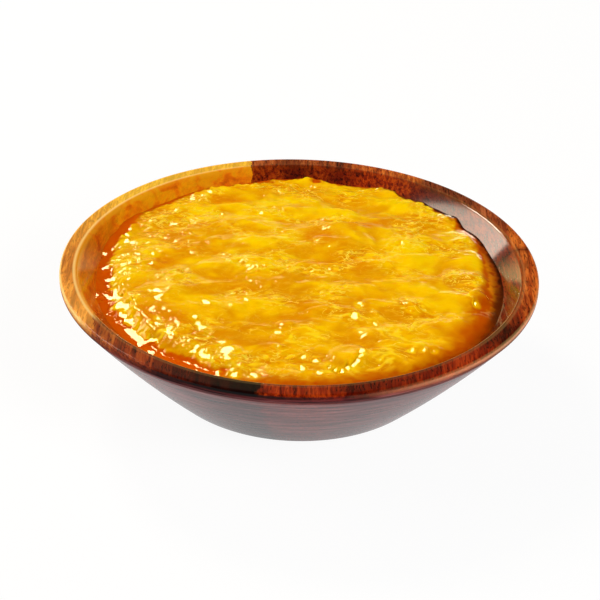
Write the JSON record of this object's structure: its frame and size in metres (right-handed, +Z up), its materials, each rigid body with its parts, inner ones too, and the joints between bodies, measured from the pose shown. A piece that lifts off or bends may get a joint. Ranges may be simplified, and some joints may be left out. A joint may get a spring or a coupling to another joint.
{
  "type": "bowl of apricot jam",
  "caption": "Round turned wooden bowl with a flat rim and sloping wall, filled almost to the rim with thick glossy apricot jam for serving.",
  "frame": {"origin": "middle of the foot, on the surface that the bowl stands on", "axes": "+Z up along the bowl's turning axis; the front that the picture shows faces -Y, its right side +X"},
  "size_m": [0.15, 0.15, 0.0375],
  "materials": {
    "lacquered_wood": "turned acacia under clear gloss lacquer",
    "jam": "wet, glossy fruit pulp in clear syrup"
  },
  "bodies": {
    "root": {"bowl": "lacquered_wood", "apricot_jam": "jam"}
  },
  "joints": []
}
